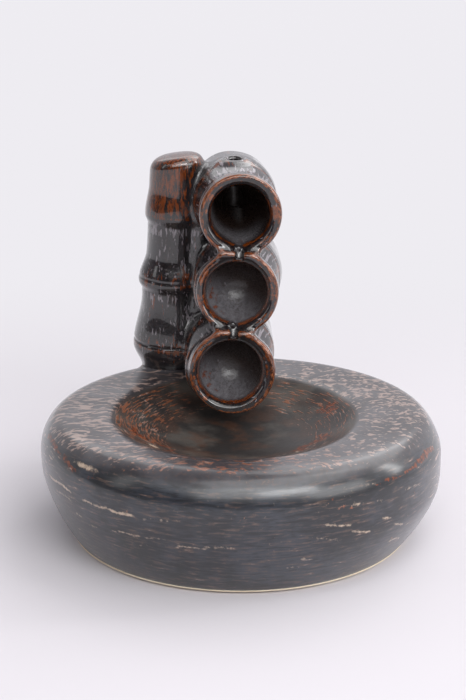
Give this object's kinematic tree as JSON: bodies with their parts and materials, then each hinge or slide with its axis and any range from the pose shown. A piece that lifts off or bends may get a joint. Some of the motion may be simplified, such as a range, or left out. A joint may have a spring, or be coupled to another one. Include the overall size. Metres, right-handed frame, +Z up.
{
  "type": "incense burner",
  "caption": "Backflow incense burner in glazed ceramic: round base with a shallow pool, bamboo stalk and bamboo tubes stacked as cups, smoke hole on top.",
  "frame": {"origin": "on the table under the middle of the round base", "axes": "+Z up from the table; the mouths of the tubes face -Y, the stalk stands at -X, +Y"},
  "size_m": [0.115, 0.115, 0.103],
  "materials": {
    "glaze_dark": "slate grey reactive glaze with rust breaks and cream flecks",
    "glaze_rust": "gloss glaze that breaks rust brown on rims and rings",
    "bare_clay": "unglazed, matte",
    "inside_clay": "unglazed, matte"
  },
  "bodies": {
    "root": {"base_shell": "glaze_dark", "base_floor": "inside_clay", "foot_ring": "bare_clay", "bamboo_stalk": "glaze_dark", "stalk_cap": "glaze_rust", "top_tube": "glaze_rust", "middle_tube": "glaze_rust", "bottom_tube": "glaze_rust", "upper_luting": "glaze_dark", "lower_luting": "glaze_dark", "stalk_luting": "glaze_dark", "cone_seat": "glaze_rust"}
  },
  "joints": []
}
